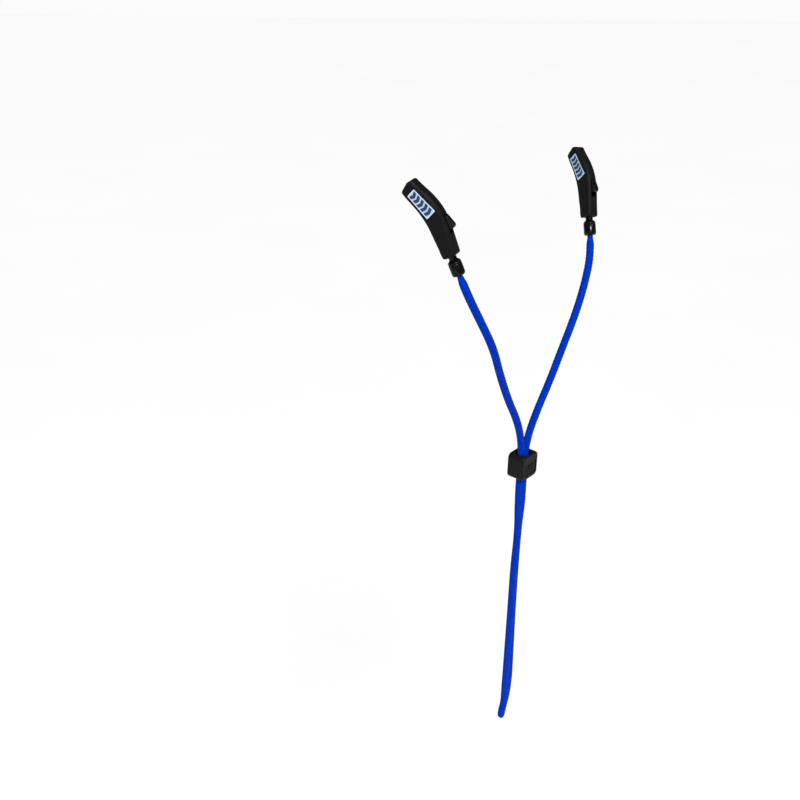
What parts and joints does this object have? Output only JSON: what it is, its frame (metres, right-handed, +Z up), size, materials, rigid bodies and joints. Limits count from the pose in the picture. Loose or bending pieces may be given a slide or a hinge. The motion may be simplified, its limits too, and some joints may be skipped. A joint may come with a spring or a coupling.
{
  "type": "adjustable eyewear retainer cord",
  "caption": "Braided eyewear retainer cord with moulded temple sleeves on swivels and a sliding block that adjusts the loop behind the neck.",
  "frame": {"origin": "midway between the mouths of the two temple sockets, where a pair of glasses holds the part up", "axes": "+Z up, +Y the way the wearer faces, out of the sockets towards the lenses, +X to the wearer's right"},
  "size_m": [0.1218, 0.0325, 0.3096],
  "materials": {
    "sleeve_rubber": "matte",
    "label_blue": "satin",
    "label_navy": "satin",
    "gloss_black": "gloss",
    "cord_blue": "braided",
    "slider_rubber": "satin"
  },
  "bodies": {
    "cord_and_barrels": {"cord": "cord_blue", "left_swivel_cap": "gloss_black", "left_swivel_barrel": "gloss_black", "right_swivel_cap": "gloss_black", "right_swivel_barrel": "gloss_black"},
    "left_sleeve_set": {"left_temple_sleeve": "sleeve_rubber", "left_label_patch": "label_blue", "left_label_marks": "label_navy", "left_connector": "gloss_black"},
    "right_sleeve_set": {"right_temple_sleeve": "sleeve_rubber", "right_label_patch": "label_blue", "right_label_marks": "label_navy", "right_connector": "gloss_black"},
    "slider": {"slider": "slider_rubber"}
  },
  "joints": [
    {"name": "left_swivel", "type": "hinge", "parent": "cord_and_barrels", "child": "left_sleeve_set", "pos_m": [-0.04874, -0.01853, -0.03026], "axis": [0.2155, -0.3302, -0.919], "continuous": true},
    {"name": "right_swivel", "type": "hinge", "parent": "cord_and_barrels", "child": "right_sleeve_set", "pos_m": [0.04874, -0.01853, -0.03026], "axis": [-0.2155, -0.3302, -0.919], "continuous": true},
    {"name": "slider_adjust", "type": "slide", "parent": "cord_and_barrels", "child": "slider", "axis": [0, 0, -1], "range_m": [0, 0.128]}
  ]
}
